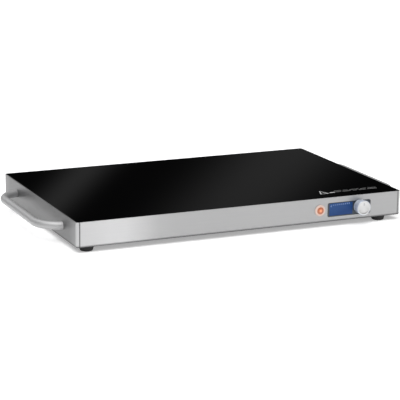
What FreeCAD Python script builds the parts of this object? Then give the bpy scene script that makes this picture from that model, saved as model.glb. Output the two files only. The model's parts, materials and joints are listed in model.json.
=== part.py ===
import FreeCAD, Part
import math
import os
import re

import Sketcher

# Glass-topped electric warming tray: a flat steel tray with a bar handle at each end,
# a heating mat under the glass, and a rotary thermostat at the right of the front face.
# +X is to the right along the front, +Y is to the back, +Z is up.  Millimetres.
# The origin is on the table, at the middle of the outline that knob, inlet and handles make.

DIMENSIONS = {
    # body
    "body_len": 560, "body_dep": 350, "side_height": 38.5, "sheet_gauge": 1.0,
    "corner_rad": 4.4, "seam_gap": 0.5, "edge_round": 0.35, "flange_width": 20,
    "end_flange_width": 12, "cover_gauge": 1.0, "cover_inset": 1.0, "foot_height": 8.5,
    # glass and what carries it
    "glass_thick": 4, "glass_sink": 0.1, "glass_gap": 0.5, "glass_bevel": 0.4,
    "bed_thick": 1.0, "bed_width": 10, "seal_rad": 2, "seal_drop": 0.4, "ledge_width": 11,
    "rail_leg": 9, "lamp_notch": 14,
    # corner angles
    "angle_front": 20, "angle_side": 16, "angle_height": 21, "angle_lift": 2.5,
    # feet
    "foot_top_dia": 23.6, "foot_low_dia": 19.4, "foot_round": 2.6, "foot_from_left": 21,
    "foot_from_right": 33.5, "foot_from_front": 14.5, "foot_well_dia": 9, "foot_well": 4,
    "foot_bore": 4, "foot_screw_rise": 4, "foot_head_dia": 8, "foot_head": 2.2,
    # handles
    "bar_dia": 12.7, "handle_out": 31.7, "handle_foot": 111, "leg_tilt": 15, "bow_rad": 40,
    "bar_overrun": 6,
    "handle_drop": 19.5, "handle_screw_dia": 4, "handle_thread": 9, "washer_dia": 10,
    "washer_thick": 1.0, "handle_head_dia": 7.5, "handle_head": 3, "thread_clear": 1,
    # control window, film, knob
    "window_near": 56, "window_far": 134.5, "window_top": 8.8, "window_low": 32,
    "window_rad": 3, "plate_lap": 4, "plate_low_lap": 3, "plate_high_lap": 2.4,
    "plate_thick": 1.5, "film_near": 88.7, "film_far": 130.5, "film_height": 20,
    "film_thick": 0.3, "film_rad": 1.2, "knob_from_right": 76.6, "knob_drop": 18.4,
    "knob_dia": 24.4, "knob_flare": 1.5, "knob_out": 16, "knob_gap": 0.5,
    "knob_round": 0.9, "dish_dia": 20,
    "dish_depth": 0.5, "nut_well_dia": 17.2, "nut_well": 4, "insert_dia": 12,
    "insert_front": 2.5, "insert_back": 2, "pointer_len": 4.4, "pointer_width": 1.2,
    "pointer_depth": 0.5, "pointer_start": 3.6,
    # thermostat
    "shaft_dia": 6, "shaft_front": 4, "shaft_back": 16, "shaft_flat": 2.2, "flat_start": 3,
    "clip_width": 2.8, "clip_leaf": 0.4, "clip_clear": 1,
    "shaft_play": 0.05, "bush_dia": 9, "bush_front": 1.5, "bush_flange_dia": 14,
    "bush_flange": 2, "nut_flats": 13, "nut_half": 1.0, "frame_half": 15, "frame_high": 12,
    "frame_gauge": 1.0, "frame_arm_high": 8, "ceramic_front": 18, "ceramic_back": 26,
    "ceramic_high": 10, "pin_dia": 3, "pin_play": 0.05, "pin_gap": 0.3, "pin_len": 12,
    "arm_gap": 0.3, "leaf_gauge": 0.5, "leaf_high": 5, "roll_dia": 1.2, "arm_far": 12, "arm_reach": 15,
    "arm_clear": 0.2, "contact_dia": 3, "contact_thick": 1.0, "bimetal_back": 33,
    "bimetal_gauge": 0.6, "bimetal_reach": 16, "tab_width": 6.3, "tab_thick": 0.8,
    "tab_len": 12, "tab_inner": 5.5, "tab_drop": 8,
    # indicator lamp
    "lamp_from_right": 148, "lamp_drop": 19.7, "bezel_dia": 18.4, "bezel_proud": 1.5,
    "bezel_round": 0.9, "collar_dia": 14, "collar_len": 12, "lens_dia": 12.4,
    "lens_proud": 2.4, "lens_back": 4, "bulb_dia": 5.2, "bulb_start": 5.5, "bulb_bevel": 1,
    "lamp_end": 2, "clip_dia": 19, "clip_thick": 1.0, "lead_dia": 1.0, "lead_pitch": 3,
    # heating mat
    "mat_left": 255, "mat_front": 45, "mat_back": 25, "mat_rad": 3, "mica_thick": 0.5,
    "element_thick": 0.5, "element_margin": 8, "track_pitch": 15, "track_gap": 3,
    "track_turn": 10, "lead_tab_width": 7, "lead_tab_len": 16, "lead_tab_lap": 1, "wool_thick": 6,
    "tray_gauge": 0.8, "tray_margin": 3, "bracket_offset": 80, "bracket_width": 18,
    "bracket_leg": 7, "bracket_screw_pitch": 200, "screw_dia": 3, "screw_head_dia": 6,
    "screw_head": 1.8,
    # appliance inlet
    "inlet_from_right": 80, "inlet_lift": 14.5, "inlet_flange": 2.5, "inlet_flange_len": 50,
    "inlet_flange_high": 22.5, "inlet_rad": 4, "inlet_body_len": 27, "inlet_body_high": 19.5,
    "inlet_depth": 20, "socket_len": 24, "socket_high": 16, "socket_depth": 14,
    "socket_rad": 3, "inlet_screw_pitch": 40, "pin_wide": 2, "pin_high": 4,
    "pin_pitch": 14, "live_pin_drop": 1, "earth_pin_rise": 3, "pin_tip": 3,
    "pin_tail": 6, "inlet_nut_flats": 5.5, "inlet_nut_thick": 2.4, "inlet_screw_tail": 1,
    # base cover vents
    "vent_len": 40, "vent_width": 3, "vent_rad": 1.49, "vent_pitch": 10, "vent_rows": 7, "vent_offset": 150,
    # wiring
    "wire_dia": 2.4, "wire_bend": 8, "wire_touch": 0.1, "fuse_dia": 4, "fuse_len": 14,
    "fuse_from_right": 55, "fuse_back": 46, "live_high": 12.5, "low_run": 4.5,
    "stud_dia": 4, "stud_high": 9, "stud_from_inlet": 45, "stud_head": 2,
    "stud_nut_flats": 8, "stud_nut": 3, "stud_head_dia": 8,
    # wire routes: straight runs off a terminal, then how far each bend lies beyond it
    "live_turn": 20, "live_cross": 50, "fuse_turn": 40, "tab_turn": 18, "lead_turn": 20,
    "lead_rise": 3, "lead_from_mat": 4.5, "neutral_left": 100, "neutral_mid": 60,
    "neutral_right": 148, "neutral_bow": 14, "neutral_dip": 4, "neutral_reach": 60,
    "neutral_cross": 54, "neutral_turn": 18, "neutral_short": 0.5, "earth_rise": 4,
    "earth_turn": 18, "earth_dip": 4, "earth_high": 2, "earth_low": 1, "lamp_turn": 26,
    "lamp_far_turn": 30, "lamp_shift": 4, "lamp_high": 4, "lamp_reach": 90, "lamp_join": 1.8,
}
# Counts of repeated cuts.
TRACKS_FROM_FRONT = 16
TRACKS_FROM_BACK = 16

# Places that several pieces share, worked out from the dimensions.
MID_Y = "((knob_out - inlet_flange) / 2)"
FRONT_Y = f"({MID_Y} - body_dep / 2)"
BACK_Y = f"({MID_Y} + body_dep / 2)"
FLOOR_Z = "(foot_height + cover_gauge)"
TOP_Z = f"({FLOOR_Z} + side_height)"
MAT_Z = f"({TOP_Z} - glass_sink - glass_thick)"
BED_Z = f"({MAT_Z} - bed_thick)"
ELEMENT_Z = f"({MAT_Z} - mica_thick - element_thick)"
LOWER_MICA_Z = f"({ELEMENT_Z} - mica_thick)"
WOOL_Z = f"({LOWER_MICA_Z} - wool_thick)"
TRAY_Z = f"({WOOL_Z} - tray_gauge)"
HANDLE_Z = f"({TOP_Z} - handle_drop)"
KNOB_X = "(body_len / 2 - knob_from_right)"
KNOB_Z = f"({TOP_Z} - knob_drop)"
LAMP_X = "(body_len / 2 - lamp_from_right)"
LAMP_Z = f"({TOP_Z} - lamp_drop)"
INLET_X = "(body_len / 2 - inlet_from_right)"
INLET_Z = f"({FLOOR_Z} + inlet_lift)"
PLATE_BACK = "(sheet_gauge + plate_thick)"
STRAIGHT = "(body_len - 2 * corner_rad - 2 * seam_gap)"
INNER_LEN = "(body_len - 2 * sheet_gauge)"
INNER_DEP = "(body_dep - 2 * sheet_gauge)"
INNER_RAD = "(corner_rad - sheet_gauge)"
ARM_Y = f"({FRONT_Y} + shaft_back + pin_gap + pin_len + arm_gap)"
MAT_Y = f"({FRONT_Y} + mat_front)"
MAT_DEPTH = "(body_dep - mat_front - mat_back)"
FUSE_X = "(body_len / 2 - fuse_from_right)"
FUSE_Y = f"({MID_Y} + fuse_back)"
LIVE_Z = f"({FLOOR_Z} + live_high)"
LOW_Z = f"({FLOOR_Z} + low_run)"
STUD_X = f"({INLET_X} - stud_from_inlet)"
STUD_Y = f"({BACK_Y} - stud_from_inlet)"
PIN_Y = f"({BACK_Y} - inlet_depth - pin_tail - wire_touch)"
TAB_Y = f"({FRONT_Y} + ceramic_back + tab_len + wire_touch)"
TAB_Z = f"({KNOB_Z} - tab_drop + tab_thick / 2)"
TAB_MID = "(tab_inner + tab_width / 2)"
LEAD_X = "(mat_left - element_margin - lead_tab_width / 2)"
LEAD_Y = f"({MAT_Y} - lead_from_mat)"
LEAD_Z = f"({ELEMENT_Z} - wire_touch)"

doc = FreeCAD.newDocument("warming_tray")
sheet = doc.addObject("Spreadsheet::Sheet", "dims")
for row, (alias, size) in enumerate(DIMENSIONS.items(), start=1):
    sheet.set(f"A{row}", alias)
    sheet.set(f"B{row}", str(size))
    sheet.setAlias(f"B{row}", alias)
doc.recompute()

ALIAS = re.compile(r"\b(" + "|".join(DIMENSIONS) + r")\b")
PLANE_ROLES = {"XY": "XY_Plane", "XZ": "XZ_Plane", "YZ": "YZ_Plane"}
nodes = []


def linked(expression):
    """The expression with each dimension name pointing at the sheet."""
    return ALIAS.sub(r"dims.\1", str(expression))


def number(expression):
    """The expression's present value in millimetres."""
    return float(sheet.evalExpression(linked(expression)))


def bind(item, field, expression):
    item.setExpression(field, linked(expression))


def place(item, x="0", y="0", z="0", turn=0.0, axis=(0, 0, 1)):
    """Put an object at a bound position, turned by a fixed angle."""
    item.Placement = FreeCAD.Placement(
        FreeCAD.Vector(number(x), number(y), number(z)),
        FreeCAD.Rotation(FreeCAD.Vector(*axis), turn),
    )
    bind(item, "Placement.Base.x", x)
    bind(item, "Placement.Base.y", y)
    bind(item, "Placement.Base.z", z)


class Outline:
    """A sketch on one of the body's origin planes, lifted along the plane's normal."""

    def __init__(self, body, name, plane, lift="0"):
        self.sketch = body.newObject("Sketcher::SketchObject", name)
        role = PLANE_ROLES[plane]
        support = [item for item in body.Origin.OriginFeatures if item.Role == role][0]
        self.sketch.AttachmentSupport = [(support, "")]
        self.sketch.MapMode = "FlatFace"
        if lift != "0":
            bind(self.sketch, "AttachmentOffset.Base.z", lift)

    def size(self, constraint, expression):
        index = self.sketch.addConstraint(constraint)
        bind(self.sketch, f"Constraints[{index}]", expression)

    def fix_x(self, edge, end, expression):
        self.size(Sketcher.Constraint("DistanceX", -1, 1, edge, end, number(expression)), expression)

    def fix_y(self, edge, end, expression):
        self.size(Sketcher.Constraint("DistanceY", -1, 1, edge, end, number(expression)), expression)

    def line(self, start, end):
        segment = Part.LineSegment(FreeCAD.Vector(*start, 0), FreeCAD.Vector(*end, 0))
        return self.sketch.addGeometry(segment)

    def polygon(self, corners):
        """Closed straight-sided outline; each corner is a pair of expressions."""
        spots = [(number(x), number(y)) for x, y in corners]
        edges = []
        for index, spot in enumerate(spots):
            edges.append(self.line(spot, spots[(index + 1) % len(spots)]))
        for index, edge in enumerate(edges):
            following = edges[(index + 1) % len(edges)]
            self.sketch.addConstraint(Sketcher.Constraint("Coincident", edge, 2, following, 1))
        for edge, (x, y) in zip(edges, corners):
            self.fix_x(edge, 1, x)
            self.fix_y(edge, 1, y)
        return self

    def rectangle(self, left, low, right, high):
        return self.polygon([(left, low), (right, low), (right, high), (left, high)])

    def rounded(self, left, low, right, high, radius):
        """Rectangle with four equal round corners."""
        x0, y0, x1, y1, rad = (number(item) for item in (left, low, right, high, radius))
        sides = [
            self.line((x0 + rad, y0), (x1 - rad, y0)),
            self.line((x1, y0 + rad), (x1, y1 - rad)),
            self.line((x1 - rad, y1), (x0 + rad, y1)),
            self.line((x0, y1 - rad), (x0, y0 + rad)),
        ]
        middles = [(x1 - rad, y0 + rad), (x1 - rad, y1 - rad), (x0 + rad, y1 - rad), (x0 + rad, y0 + rad)]
        arcs = []
        for quarter, middle in enumerate(middles):
            circle = Part.Circle(FreeCAD.Vector(*middle, 0), FreeCAD.Vector(0, 0, 1), rad)
            begin = math.radians(90 * quarter - 90)
            arcs.append(self.sketch.addGeometry(Part.ArcOfCircle(circle, begin, begin + math.pi / 2)))
        for index, arc in enumerate(arcs):
            self.sketch.addConstraint(Sketcher.Constraint("Tangent", sides[index], 2, arc, 1))
            self.sketch.addConstraint(Sketcher.Constraint("Tangent", arc, 2, sides[(index + 1) % 4], 1))
        for side, kind in zip(sides, ("Horizontal", "Vertical", "Horizontal", "Vertical")):
            self.sketch.addConstraint(Sketcher.Constraint(kind, side))
        self.fix_y(sides[0], 1, low)
        self.fix_x(sides[1], 1, right)
        self.fix_y(sides[2], 1, high)
        self.fix_x(sides[3], 1, left)
        for arc in arcs:
            self.size(Sketcher.Constraint("Radius", arc, rad), radius)
        return self

    def centred(self, length, depth, radius, mid_x="0", mid_y="0"):
        """Rounded rectangle about a middle point."""
        return self.rounded(
            f"{mid_x} - ({length}) / 2", f"{mid_y} - ({depth}) / 2",
            f"{mid_x} + ({length}) / 2", f"{mid_y} + ({depth}) / 2", radius,
        )

    def circle(self, diameter, x="0", y="0"):
        middle = FreeCAD.Vector(number(x), number(y), 0)
        round_edge = Part.Circle(middle, FreeCAD.Vector(0, 0, 1), number(diameter) / 2)
        edge = self.sketch.addGeometry(round_edge)
        self.size(Sketcher.Constraint("Diameter", edge, number(diameter)), diameter)
        self.fix_x(edge, 3, x)
        self.fix_y(edge, 3, y)
        return self

    def hexagon(self, flats):
        """Hexagon about the origin, by its width across flats."""
        reach = f"({flats}) / sqrt(3)"
        corners = []
        for step in range(6):
            corners.append((f"{reach} * cos({60 * step}deg)", f"{reach} * sin({60 * step}deg)"))
        return self.polygon(corners)


class Piece:
    """One sub-part: a PartDesign body that becomes one node."""

    def __init__(self, label, x="0", y="0", z="0", turn=0.0, axis=(0, 0, 1)):
        self.body = doc.addObject("PartDesign::Body", label)
        self.body.Label = label
        place(self.body, x, y, z, turn, axis)
        self.count = 0
        nodes.append(self.body)

    def outline(self, plane="XY", lift="0"):
        self.count += 1
        return Outline(self.body, f"{self.body.Name}_outline_{self.count}", plane, lift)

    def feature(self, kind, outline):
        self.count += 1
        made = self.body.newObject(kind, f"{self.body.Name}_{kind.split('::')[1].lower()}_{self.count}")
        made.Profile = outline.sketch
        outline.sketch.Visibility = False
        return made

    def pad(self, outline, length, both=False, back=False):
        pad = self.feature("PartDesign::Pad", outline)
        pad.SideType = "Symmetric" if both else "One side"
        pad.Reversed = back
        bind(pad, "Length", length)
        return pad

    def cut(self, outline, length, both=False, back=False):
        """Pocket; it must take material away, so the volume is compared."""
        doc.recompute()
        before = self.body.Shape.Volume
        pocket = self.feature("PartDesign::Pocket", outline)
        pocket.SideType = "Symmetric" if both else "One side"
        pocket.Reversed = back
        bind(pocket, "Length", length)
        doc.recompute()
        if self.body.Shape.Volume >= before - 1e-6:
            raise RuntimeError(f"{pocket.Name} removed nothing")
        return pocket

    def revolve(self, outline, axis="V_Axis"):
        turned = self.feature("PartDesign::Revolution", outline)
        turned.ReferenceAxis = (outline.sketch, [axis])
        turned.Angle = 360
        return turned

    def dress(self, kind, size_field, size, chosen):
        """Fillet or chamfer every edge that the test picks."""
        doc.recompute()
        base = self.body.Tip
        names = []
        for index, edge in enumerate(base.Shape.Edges, start=1):
            if chosen(edge):
                names.append(f"Edge{index}")
        if not names:
            raise RuntimeError(f"{self.body.Name} has no edge to dress")
        self.count += 1
        dressed = self.body.newObject(kind, f"{self.body.Name}_dress_{self.count}")
        dressed.Base = (base, names)
        bind(dressed, size_field, size)
        return dressed

    def round_edges(self, radius, chosen):
        return self.dress("PartDesign::Fillet", "Radius", radius, chosen)

    def bevel_edges(self, size, chosen):
        return self.dress("PartDesign::Chamfer", "Size", size, chosen)

    def row(self, feature, axis, span, count):
        """Repeat one feature along an origin axis over a span."""
        pattern = self.body.newObject("PartDesign::LinearPattern", f"{self.body.Name}_row_{self.count}")
        pattern.Originals = [feature]
        line = [item for item in self.body.Origin.OriginFeatures if item.Role == axis][0]
        pattern.Direction = (line, [""])
        bind(pattern, "Length", span)
        pattern.Occurrences = count
        self.body.Tip = pattern
        self.count += 1
        return pattern

    def mirror(self, feature, role):
        mirrored = self.body.newObject("PartDesign::Mirrored", f"{self.body.Name}_mirror_{self.count}")
        mirrored.Originals = [feature]
        plane = [item for item in self.body.Origin.OriginFeatures if item.Role == role][0]
        mirrored.MirrorPlane = (plane, [""])
        self.body.Tip = mirrored
        self.count += 1
        return mirrored


def lies_at(edge, **places):
    """True when the whole edge lies at the given x, y or z, within a hundredth."""
    for point in edge.discretize(5):
        for name, value in places.items():
            if abs(getattr(point, name) - value) > 0.01:
                return False
    return True


def on_rounded(edge, length, depth, height):
    """True for an edge of the outer outline of a centred plate, at one height."""
    if not lies_at(edge, z=height):
        return False
    box = edge.BoundBox
    reach_x = max(abs(box.XMin), abs(box.XMax))
    reach_y = max(abs(box.YMin), abs(box.YMax))
    return reach_x > length / 2 - 0.01 or reach_y > depth / 2 - 0.01


def flat_panel(label, y, turn):
    """Front or back sheet: an upright web with a flange turned in along its foot."""
    panel = Piece(label, y=y, z=FLOOR_Z, turn=turn)
    web = panel.outline("YZ").polygon([
        ("0", "0"), ("flange_width", "0"), ("flange_width", "sheet_gauge"),
        ("sheet_gauge", "sheet_gauge"), ("sheet_gauge", "side_height"), ("0", "side_height"),
    ])
    panel.pad(web, STRAIGHT, both=True)
    high = number("side_height")
    panel.round_edges("edge_round", lambda e: lies_at(e, y=0, z=0) or lies_at(e, y=0, z=high))
    return panel


def front_panel():
    panel = flat_panel("front_panel", FRONT_Y, 0)
    openings = panel.outline("XZ")
    openings.rounded(
        "body_len / 2 - window_far", "side_height - window_low",
        "body_len / 2 - window_near", "side_height - window_top", "window_rad",
    )
    openings.circle("collar_dia", LAMP_X, "side_height - lamp_drop")
    panel.cut(openings, "4 * sheet_gauge", both=True)
    screw_holes = panel.outline("XY")
    screw_holes.circle("foot_bore", "foot_from_left - body_len / 2", "foot_from_front")
    screw_holes.circle("foot_bore", "body_len / 2 - foot_from_right", "foot_from_front")
    panel.cut(screw_holes, "4 * sheet_gauge", both=True)


def back_panel():
    panel = flat_panel("back_panel", BACK_Y, 180)
    inlet_at = f"-{INLET_X}"
    openings = panel.outline("XZ")
    openings.centred("inlet_body_len", "inlet_body_high", "socket_rad", inlet_at, "inlet_lift")
    for side in ("-", "+"):
        openings.circle("screw_dia", f"{inlet_at} {side} inlet_screw_pitch / 2", "inlet_lift")
    panel.cut(openings, "4 * sheet_gauge", both=True)
    screw_holes = panel.outline("XY")
    screw_holes.circle("foot_bore", "body_len / 2 - foot_from_left", "foot_from_front")
    screw_holes.circle("foot_bore", "foot_from_right - body_len / 2", "foot_from_front")
    panel.cut(screw_holes, "4 * sheet_gauge", both=True)


def end_panel(label, x, turn):
    """End sheet that wraps both corners, with a flange turned in along its foot.

    Its own x runs inwards from the outer face and its own y along the end.
    """
    panel = Piece(label, x=x, y=MID_Y, z=FLOOR_Z, turn=turn)
    whole = panel.outline().rounded("0", "-body_dep / 2", "5 * corner_rad", "body_dep / 2", "corner_rad")
    panel.pad(whole, "side_height")
    hollow = panel.outline()
    hollow.rounded(
        "sheet_gauge", f"-{INNER_DEP} / 2", "8 * corner_rad", f"{INNER_DEP} / 2", INNER_RAD,
    )
    panel.cut(hollow, "side_height", back=True)
    beyond = panel.outline().rectangle("corner_rad", "-body_dep", "9 * corner_rad", "body_dep")
    panel.cut(beyond, "side_height", back=True)
    flange_half = "(body_dep / 2 - flange_width - sheet_gauge)"
    flange = panel.outline().rectangle(
        "sheet_gauge / 2", f"-{flange_half}", "end_flange_width", flange_half,
    )
    panel.pad(flange, "sheet_gauge")
    screws = panel.outline("YZ")
    for side in ("-", ""):
        screws.circle("handle_screw_dia", f"{side}handle_foot", "side_height - handle_drop")
    panel.cut(screws, "4 * sheet_gauge", both=True)
    high = number("side_height")
    rad = number("corner_rad")

    def outer(edge):
        if not (lies_at(edge, z=0) or lies_at(edge, z=high)):
            return False
        if lies_at(edge, x=0):
            return edge.Length > rad * 4
        return hasattr(edge.Curve, "Radius") and abs(edge.Curve.Radius - rad) < 0.01

    panel.round_edges("edge_round", outer)


def corner_angle(label, side_x, side_y):
    """Rounded angle welded inside a corner, behind the seam between two sheets."""
    turns = {(-1, -1): 0, (1, -1): 90, (1, 1): 180, (-1, 1): 270}
    quarter = turns[(side_x, side_y)]
    sides = ("angle_front", "angle_side") if quarter % 180 == 0 else ("angle_side", "angle_front")
    x = f"{side_x} * {INNER_LEN} / 2"
    y = f"{MID_Y} + {side_y} * {INNER_DEP} / 2"
    angle = Piece(label, x=x, y=y, z=f"{FLOOR_Z} + angle_lift", turn=quarter)
    block = angle.outline().rounded("0", "0", "3 * angle_front", "3 * angle_front", INNER_RAD)
    angle.pad(block, "angle_height")
    inner_rad = f"{INNER_RAD} - sheet_gauge"
    hollow = angle.outline().rounded(
        "sheet_gauge", "sheet_gauge", "4 * angle_front", "4 * angle_front", inner_rad,
    )
    angle.cut(hollow, "angle_height", back=True)
    beyond = angle.outline().rectangle(sides[0], "-sheet_gauge", "5 * angle_front", "5 * angle_front")
    angle.cut(beyond, "angle_height", back=True)
    above = angle.outline().rectangle("-sheet_gauge", sides[1], "6 * angle_front", "5 * angle_front")
    angle.cut(above, "angle_height", back=True)


def glass_rail(label, x, y, turn, length, notch=None):
    """Angle strip that carries the edge of the glass."""
    rail = Piece(label, x=x, y=y, z=BED_Z, turn=turn)
    section = rail.outline("YZ").polygon([
        ("0", "-rail_leg"), ("sheet_gauge", "-rail_leg"), ("sheet_gauge", "-sheet_gauge"),
        ("ledge_width", "-sheet_gauge"), ("ledge_width", "0"), ("0", "0"),
    ])
    rail.pad(section, length, both=True)
    if notch:
        gap = rail.outline("XZ").rectangle(notch[0], "-2 * rail_leg", notch[1], "-sheet_gauge")
        rail.cut(gap, "4 * sheet_gauge", both=True)


def glass_top():
    glass = Piece("glass_top", y=MID_Y, z=MAT_Z)
    length = f"({INNER_LEN} - 2 * glass_gap)"
    depth = f"({INNER_DEP} - 2 * glass_gap)"
    glass.pad(glass.outline().centred(length, depth, f"{INNER_RAD} - glass_gap"), "glass_thick")
    sizes = (number(length), number(depth), number("glass_thick"))
    glass.bevel_edges("glass_bevel", lambda e: on_rounded(e, *sizes))


def glass_seal():
    """Black silicone: a bed under the edge of the glass and a lip round its sides."""
    seal = Piece("glass_seal", y=MID_Y, z=BED_Z)
    seal.pad(seal.outline().centred(INNER_LEN, INNER_DEP, INNER_RAD), "bed_thick + glass_thick - seal_drop")
    pane = seal.outline("XY", "bed_thick").centred(
        f"{INNER_LEN} - 2 * glass_gap", f"{INNER_DEP} - 2 * glass_gap", f"{INNER_RAD} - glass_gap",
    )
    seal.cut(pane, "glass_thick", back=True)
    opening = seal.outline().centred(
        f"{INNER_LEN} - 2 * bed_width", f"{INNER_DEP} - 2 * bed_width", "seal_rad",
    )
    seal.cut(opening, "2 * bed_thick", back=True)


def base_cover():
    cover = Piece("base_cover", y=MID_Y, z="foot_height")
    length = "(body_len - 2 * cover_inset)"
    depth = "(body_dep - 2 * cover_inset)"
    cover.pad(cover.outline().centred(length, depth, "corner_rad - cover_inset"), "cover_gauge")
    screws = cover.outline()
    for x in ("foot_from_left - body_len / 2", "body_len / 2 - foot_from_right"):
        for side in ("-", ""):
            screws.circle("foot_bore", x, f"{side}(body_dep / 2 - foot_from_front)")
    screws.circle("stud_dia", f"{INLET_X} - stud_from_inlet", "body_dep / 2 - stud_from_inlet")
    cover.cut(screws, "4 * cover_gauge", both=True)
    for side in ("-", ""):
        slot = cover.outline().centred(
            "vent_len", "vent_width", "vent_rad", f"{side}vent_offset",
            "-vent_pitch * (vent_rows - 1) / 2",
        )
        vent = cover.cut(slot, "4 * cover_gauge", both=True)
        cover.row(vent, "Y_Axis", "vent_pitch * (vent_rows - 1)", int(number("vent_rows")))


def foot(label, x, y):
    """Rubber foot with a rounded sole and a well for its screw."""
    rubber = Piece(label, x=x, y=y)
    side = rubber.outline("XZ").polygon([
        ("foot_bore / 2", "foot_well"), ("foot_well_dia / 2", "foot_well"),
        ("foot_well_dia / 2", "0"), ("foot_low_dia / 2", "0"),
        ("foot_top_dia / 2", "foot_height"), ("foot_bore / 2", "foot_height"),
    ])
    rubber.revolve(side)
    sole = number("foot_low_dia / 2")
    rubber.round_edges(
        "foot_round", lambda e: lies_at(e, z=0) and abs(e.Curve.Radius - sole) < 0.01,
    )


def foot_places():
    """The four feet, as label, x and y."""
    places = []
    for end, x in (("left", "foot_from_left - body_len / 2"), ("right", "body_len / 2 - foot_from_right")):
        places.append((f"foot_front_{end}", x, f"{FRONT_Y} + foot_from_front"))
        places.append((f"foot_back_{end}", x, f"{BACK_Y} - foot_from_front"))
    return places


def fastener(x, y, z, turn, axis, sizes):
    """One round-headed screw as a primitive pair, its shank along its own +z."""
    dia, length, head_dia, head = sizes
    shank = doc.addObject("Part::Cylinder", "shank")
    bind(shank, "Radius", f"({dia}) / 2")
    bind(shank, "Height", length)
    cap = doc.addObject("Part::Cylinder", "cap")
    bind(cap, "Radius", f"({head_dia}) / 2")
    bind(cap, "Height", head)
    bind(cap, "Placement.Base.z", f"-({head})")
    screw = doc.addObject("Part::Fuse", "screw")
    screw.Base = shank
    screw.Tool = cap
    place(screw, x, y, z, turn, axis)
    return screw


def group(label, members):
    """Identical small pieces kept together as one node."""
    bundle = doc.addObject("Part::Compound", label)
    bundle.Label = label
    bundle.Links = members
    nodes.append(bundle)
    return bundle


def foot_screws():
    sizes = ("foot_bore", "foot_height - foot_well + foot_screw_rise", "foot_head_dia", "foot_head")
    screws = [fastener(x, y, "foot_well", 0, (0, 0, 1), sizes) for label, x, y in foot_places()]
    group("foot_screws", screws)


def handle(label, x, turn):
    """Bent bar; its own x runs out from the end panel, and it is symmetric in its own y."""
    bar = Piece(label, x=x, y=MID_Y, z=HANDLE_Z, turn=turn)
    spine = bar.outline()
    out = number("handle_out")
    tilt = math.radians(number("leg_tilt"))
    rad = number("bow_rad")
    foot_y = number("handle_foot")
    corner_y = foot_y - out * math.tan(tilt)
    reach = rad * math.tan((math.pi / 2 - tilt) / 2)
    overrun = number("bar_overrun")
    leg_start = (out - reach * math.cos(tilt), corner_y + reach * math.sin(tilt))
    leg_end = (-overrun, foot_y + overrun * math.tan(tilt))
    grip = spine.line((out, 0), (out, corner_y - reach))
    middle = FreeCAD.Vector(out - rad, corner_y - reach, 0)
    round_edge = Part.Circle(middle, FreeCAD.Vector(0, 0, 1), rad)
    bend = spine.sketch.addGeometry(Part.ArcOfCircle(round_edge, 0, math.pi / 2 - tilt))
    leg = spine.line(leg_start, leg_end)
    add = spine.sketch.addConstraint
    add(Sketcher.Constraint("Tangent", grip, 2, bend, 1))
    add(Sketcher.Constraint("Tangent", bend, 2, leg, 1))
    add(Sketcher.Constraint("Vertical", grip))
    spine.fix_x(grip, 1, "handle_out")
    spine.fix_y(grip, 1, "0")
    spine.size(Sketcher.Constraint("Radius", bend, rad), "bow_rad")
    spine.fix_x(leg, 2, "-bar_overrun")
    spine.fix_y(leg, 2, "handle_foot + bar_overrun * tan(leg_tilt * 1deg)")
    spine.fix_y(leg, 1, (
        "handle_foot - handle_out * tan(leg_tilt * 1deg)"
        " + bow_rad * tan((90 - leg_tilt) * 0.5deg) * sin(leg_tilt * 1deg)"
    ))
    section = bar.outline("XZ").circle("bar_dia", "handle_out")
    half = bar.feature("PartDesign::AdditivePipe", section)
    half.Spine = (spine.sketch, ["Edge1", "Edge2", "Edge3"])
    bar.mirror(half, "XZ_Plane")
    behind = bar.outline("YZ").rectangle("-body_dep", "-bar_dia", "body_dep", "bar_dia")
    bar.cut(behind, "3 * bar_dia")
    thread = bar.outline("YZ")
    for side in ("-", ""):
        thread.circle("handle_screw_dia", f"{side}handle_foot")
    bar.cut(thread, "handle_thread", back=True)


def handle_fixings():
    """Washer and screw behind each foot of each handle, inside the end panels."""
    length = "sheet_gauge + washer_thick + handle_thread - thread_clear"
    sizes = ("handle_screw_dia", length, "handle_head_dia", "handle_head")
    screws = []
    washers = []
    for side, turn in ((-1, -90), (1, 90)):
        inner_x = f"{side} * {INNER_LEN} / 2"
        for end in (-1, 1):
            y = f"{MID_Y} + {end} * handle_foot"
            ring = doc.addObject("Part::Cylinder", "ring")
            bind(ring, "Radius", "washer_dia / 2")
            bind(ring, "Height", "washer_thick")
            hole = doc.addObject("Part::Cylinder", "hole")
            bind(hole, "Radius", "handle_screw_dia / 2")
            bind(hole, "Height", "washer_thick")
            washer = doc.addObject("Part::Cut", "washer")
            washer.Base = ring
            washer.Tool = hole
            place(washer, f"{inner_x} - {side} * washer_thick", y, HANDLE_Z, turn, (0, 1, 0))
            washers.append(washer)
            head_x = f"{inner_x} - {side} * washer_thick"
            screws.append(fastener(head_x, y, HANDLE_Z, turn, (0, 1, 0), sizes))
    group("handle_washers", washers)
    group("handle_screws", screws)


def control_plate():
    """Dark plate behind the window, with the hole that the thermostat bush clamps."""
    plate = Piece("control_plate", y=f"{FRONT_Y} + sheet_gauge", z=FLOOR_Z)
    outline = plate.outline("XZ").rounded(
        "body_len / 2 - window_far - plate_lap", "side_height - window_low - plate_low_lap",
        "body_len / 2 - window_near + plate_lap", "side_height - window_top + plate_high_lap",
        "window_rad",
    )
    plate.pad(outline, "plate_thick", back=True)
    hole = plate.outline("XZ").circle("bush_dia", KNOB_X, "side_height - knob_drop")
    plate.cut(hole, "4 * plate_thick", both=True)


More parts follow.
